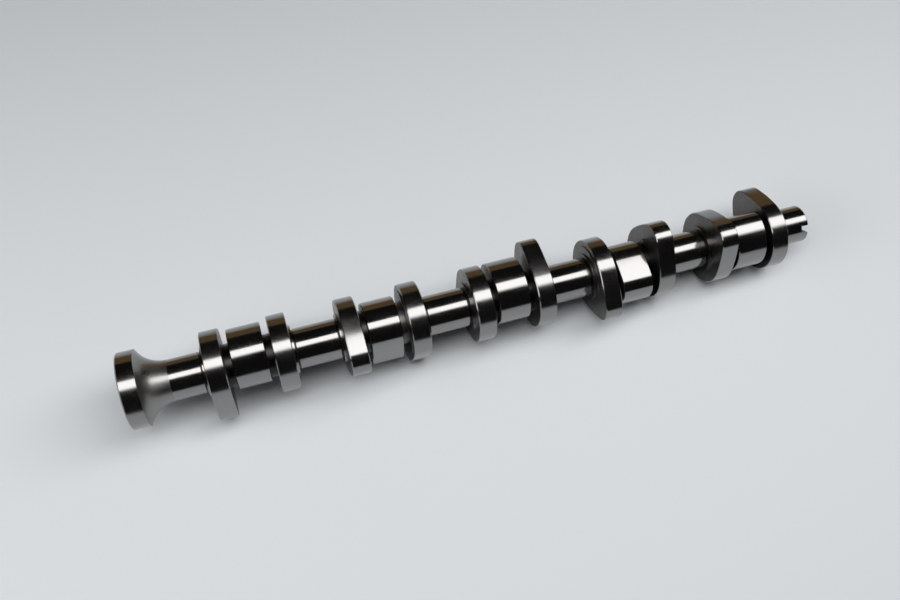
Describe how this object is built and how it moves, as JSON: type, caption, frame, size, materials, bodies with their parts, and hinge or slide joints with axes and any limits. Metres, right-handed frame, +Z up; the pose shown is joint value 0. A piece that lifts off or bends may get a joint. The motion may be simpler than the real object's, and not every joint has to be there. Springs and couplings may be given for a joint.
{
  "type": "camshaft",
  "caption": "Solid camshaft with valve lobes and wider injector cams between slim journals, a flared gear flange at one end and a slotted pump-drive stub at the other.",
  "frame": {"origin": "on the shaft's axis, at the outer face of the gear flange", "axes": "+X runs along the shaft from the gear flange to the slotted stub; +Z is up as the shaft lies at rest on its lobes, within two degrees"},
  "size_m": [0.4842, 0.0689, 0.0678],
  "materials": {
    "ground_steel": "ground and polished on the cams, journals and flange, darker and turned on the sides of the cams"
  },
  "bodies": {
    "root": {"camshaft": "ground_steel"}
  },
  "joints": []
}
